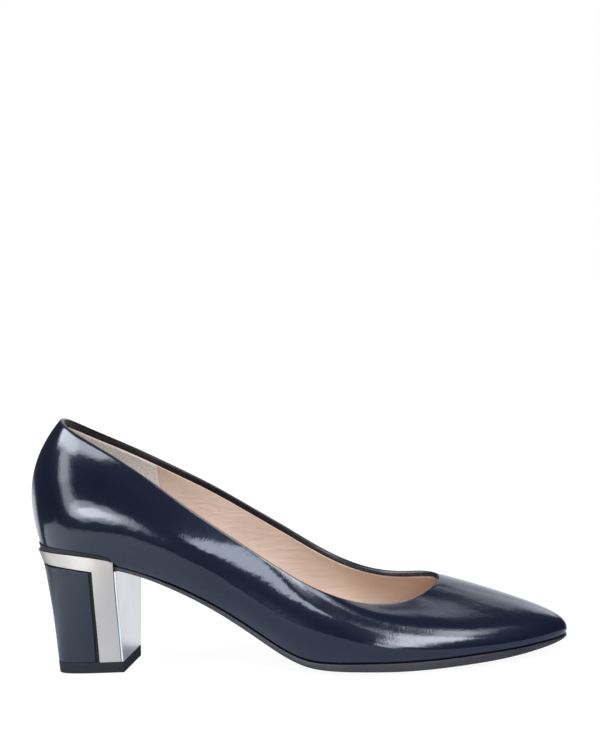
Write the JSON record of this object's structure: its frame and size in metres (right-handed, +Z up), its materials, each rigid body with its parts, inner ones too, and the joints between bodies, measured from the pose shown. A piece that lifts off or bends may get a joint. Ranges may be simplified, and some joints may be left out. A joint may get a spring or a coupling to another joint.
{
  "type": "high heel pump",
  "caption": "Right-foot pointed-almond pump with a low-cut topline and a mid-height block heel framed in metal.",
  "frame": {"origin": "middle of the shoe's footprint, on the ground", "axes": "+X to the toe, +Y to the medial side, +Z up"},
  "size_m": [0.2441, 0.0788, 0.1183],
  "materials": {
    "upper_leather": "glossy brushed navy calf",
    "edge_leather": "matt black edge binding",
    "reinforcement": "stiffened non-woven",
    "lining_leather": "smooth unlacquered pink-beige kid",
    "suede": "napped suede",
    "outsole": "satin stained sole leather",
    "filler": "pressed cork sheet",
    "shank_steel": "bare spring steel",
    "board": "cellulose board",
    "foam": "soft latex foam",
    "sock_leather": "smooth pink-beige kid",
    "heel_plastic": "moulded plastic",
    "satin_metal": "satin nickel plate",
    "bright_metal": "polished nickel plate",
    "panel_leather": "smooth slate-navy leather",
    "top_lift": "moulded polyurethane",
    "fastener_steel": "plated steel"
  },
  "bodies": {
    "root": {"upper_leather": "upper_leather", "topline_binding": "edge_leather", "topline_tape": "reinforcement", "quarter_lining": "lining_leather", "heel_grip": "suede", "heel_counter": "reinforcement", "toe_puff": "reinforcement", "side_interlining_lateral": "reinforcement", "side_interlining_medial": "reinforcement", "outsole": "outsole", "forefoot_filler": "filler", "steel_shank": "shank_steel", "insole_board": "board", "shank_board": "board", "sock_foam": "foam", "sock_lining": "sock_leather", "heel_core": "heel_plastic", "heel_metal_frame": "satin_metal", "heel_breast_plate": "bright_metal", "heel_leather_panel": "panel_leather", "heel_seat_rand": "edge_leather", "top_lift": "top_lift", "heel_screw": "fastener_steel", "heel_nails": "fastener_steel", "shank_rivets": "fastener_steel", "top_lift_pins": "fastener_steel"}
  },
  "joints": []
}
